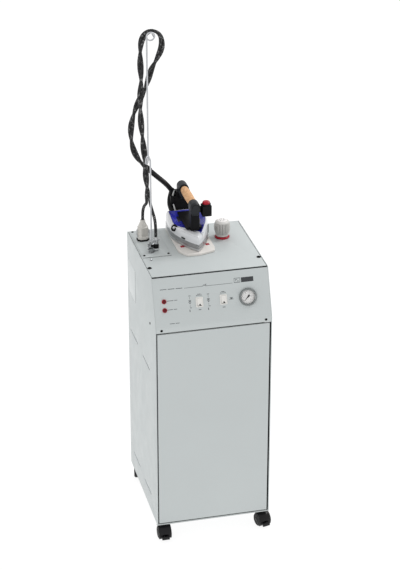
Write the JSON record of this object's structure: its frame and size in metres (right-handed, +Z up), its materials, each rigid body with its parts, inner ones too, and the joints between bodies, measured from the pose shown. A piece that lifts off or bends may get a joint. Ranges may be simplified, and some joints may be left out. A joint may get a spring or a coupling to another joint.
{
  "type": "steam ironing station",
  "caption": "Boiler cabinet on swivel casters with a sloping control panel, a steam iron resting on its top, and a thin mast carrying the steam hose and cable.",
  "frame": {"origin": "bottom centre of the bounding box of everything but the free cords, on the floor", "axes": "+Z up, -Y towards the user at the control panel, +X to the user's right when facing the panel"},
  "size_m": [0.3853, 0.4424, 1.5949],
  "materials": {
    "painted": "satin powder coat, light grey",
    "zinc": "plated steel",
    "rubber_black": "soft black rubber",
    "black_steel": "blackened screws",
    "stainless": "welded stainless steel",
    "tank_plastic": "translucent white plastic",
    "black_plastic": "moulded black plastic",
    "chrome": "plated bezel",
    "dial_white": "printed dial",
    "red_plastic": "gloss red plastic",
    "brass": "turned brass",
    "grey_plastic": "light grey plastic",
    "silicone_white": "moulded silicone",
    "cord_black": "black braided textile with light flecks over rubber",
    "sole_aluminium": "cast and polished aluminium",
    "iron_shell": "silver-white lacquer",
    "shield_blue": "royal-blue lacquer",
    "cork": "natural cork"
  },
  "bodies": {
    "root": {"left_side_panel": "painted", "right_side_panel": "painted", "base_tray": "zinc", "rear_panel": "painted", "top_panel": "painted", "connection_plate": "zinc", "control_panel": "painted", "hinge_pins": "zinc", "door_gasket": "rubber_black", "boiler_tank": "stainless", "heating_element": "zinc", "water_tank": "tank_plastic", "water_pump": "zinc", "solenoid_valve": "zinc", "steam_pipes": "zinc", "steam_valve": "brass", "rear_fittings": "black_plastic", "gauge_case": "chrome", "gauge_dial": "dial_white", "indicator_lamps": "red_plastic", "switch_frames": "grey_plastic", "top_screws": "black_steel", "small_screws": "black_steel", "mast_socket": "zinc", "mast_rod": "zinc", "outlet_union": "brass", "hose_clamp": "zinc", "plug_socket": "black_plastic", "plug_body": "grey_plastic", "knob_ring": "red_plastic", "iron_pad": "silicone_white", "cable_lead": "cord_black", "hose_lead": "cord_black", "cord_pair": "cord_black", "cord_sleeve": "cord_black"},
    "door_body": {"door": "painted"},
    "latch_body": {"door_latch": "black_plastic"},
    "rocker_left_body": {"rocker_left": "grey_plastic"},
    "rocker_right_body": {"rocker_right": "grey_plastic"},
    "needle_body": {"gauge_needle": "red_plastic"},
    "knob_body": {"steam_knob": "grey_plastic"},
    "thumbscrew_body": {"mast_thumbscrew": "zinc"},
    "iron": {"iron_soleplate": "sole_aluminium", "iron_body": "iron_shell", "nose_hood": "iron_shell", "heat_shield": "shield_blue", "handle_frame": "black_plastic", "cork_grip": "cork", "switch_box": "black_plastic"},
    "button_body": {"steam_button": "red_plastic"},
    "swivel_front_left": {"caster_hood_front_left": "black_plastic"},
    "wheels_front_left": {"caster_wheels_front_left": "black_plastic"},
    "brake_pedal_left_body": {"brake_pedal_left": "black_plastic"},
    "swivel_front_right": {"caster_hood_front_right": "black_plastic"},
    "wheels_front_right": {"caster_wheels_front_right": "black_plastic"},
    "brake_pedal_right_body": {"brake_pedal_right": "black_plastic"},
    "swivel_rear_left": {"caster_hood_rear_left": "black_plastic"},
    "wheels_rear_left": {"caster_wheels_rear_left": "black_plastic"},
    "swivel_rear_right": {"caster_hood_rear_right": "black_plastic"},
    "wheels_rear_right": {"caster_wheels_rear_right": "black_plastic"}
  },
  "joints": [
    {"name": "door_hinge", "type": "hinge", "parent": "root", "child": "door_body", "pos_m": [0.16393, -0.19281, 0.392], "axis": [0, 0, 1], "range_deg": [0, 105]},
    {"name": "door_latch_slide", "type": "slide", "parent": "door_body", "child": "latch_body", "axis": [1, 0, 0], "range_m": [0, 0.003], "stiffness_N_per_m": 300},
    {"name": "rocker_left_tilt", "type": "hinge", "parent": "root", "child": "rocker_left_body", "pos_m": [-0.04207, -0.17383, 0.80538], "axis": [1, 0, 0], "range_deg": [0, 14]},
    {"name": "rocker_right_tilt", "type": "hinge", "parent": "root", "child": "rocker_right_body", "pos_m": [0.03193, -0.17383, 0.80538], "axis": [1, 0, 0], "range_deg": [0, 14]},
    {"name": "gauge_needle_turn", "type": "hinge", "parent": "root", "child": "needle_body", "pos_m": [0.10743, -0.17709, 0.80664], "axis": [0, 0.9326, -0.361], "range_deg": [0, 270]},
    {"name": "steam_knob_turn", "type": "hinge", "parent": "root", "child": "knob_body", "pos_m": [0.09543, 0.09119, 0.914], "axis": [0, 0, 1], "range_deg": [0, 330]},
    {"name": "mast_thumbscrew_turn", "type": "hinge", "parent": "root", "child": "thumbscrew_body", "pos_m": [-0.15055, 0.02071, 0.9125], "axis": [-0.7071, -0.7071, 0], "range_deg": [0, 360]},
    {"name": "iron_lift", "type": "slide", "parent": "root", "child": "iron", "axis": [0, 0, 1], "range_m": [0, 0.1], "deforming": ["cord_sleeve"]},
    {"name": "steam_button_press", "type": "slide", "parent": "iron", "child": "button_body", "axis": [0, 0, -1], "range_m": [0, 0.003], "stiffness_N_per_m": 250},
    {"name": "caster_swivel_front_left", "type": "hinge", "parent": "root", "child": "swivel_front_left", "pos_m": [-0.15957, -0.16881, 0.055], "axis": [0, 0, 1], "continuous": true},
    {"name": "caster_spin_front_left", "type": "hinge", "parent": "swivel_front_left", "child": "wheels_front_left", "pos_m": [-0.15957, -0.18681, 0.0215], "axis": [1, 0, 0], "continuous": true},
    {"name": "brake_pedal_left_press", "type": "hinge", "parent": "swivel_front_left", "child": "brake_pedal_left_body", "pos_m": [-0.15957, -0.19881, 0.018], "axis": [1, 0, 0], "range_deg": [0, 18]},
    {"name": "caster_swivel_front_right", "type": "hinge", "parent": "root", "child": "swivel_front_right", "pos_m": [0.15443, -0.16881, 0.055], "axis": [0, 0, 1], "continuous": true},
    {"name": "caster_spin_front_right", "type": "hinge", "parent": "swivel_front_right", "child": "wheels_front_right", "pos_m": [0.15879, -0.18627, 0.0215], "axis": [0.9703, 0.2419, 0], "continuous": true},
    {"name": "brake_pedal_right_press", "type": "hinge", "parent": "swivel_front_right", "child": "brake_pedal_right_body", "pos_m": [0.16169, -0.19792, 0.018], "axis": [0.9703, 0.2419, 0], "range_deg": [0, 18]},
    {"name": "caster_swivel_rear_left", "type": "hinge", "parent": "root", "child": "swivel_rear_left", "pos_m": [-0.15957, 0.16719, 0.055], "axis": [0, 0, 1], "continuous": true},
    {"name": "caster_spin_rear_left", "type": "hinge", "parent": "swivel_rear_left", "child": "wheels_rear_left", "pos_m": [-0.15583, 0.1848, 0.0215], "axis": [-0.9781, 0.2079, 0], "continuous": true},
    {"name": "caster_swivel_rear_right", "type": "hinge", "parent": "root", "child": "swivel_rear_right", "pos_m": [0.15443, 0.16719, 0.055], "axis": [0, 0, 1], "continuous": true},
    {"name": "caster_spin_rear_right", "type": "hinge", "parent": "swivel_rear_right", "child": "wheels_rear_right", "pos_m": [0.14828, 0.18411, 0.0215], "axis": [-0.9397, -0.342, 0], "continuous": true}
  ]
}
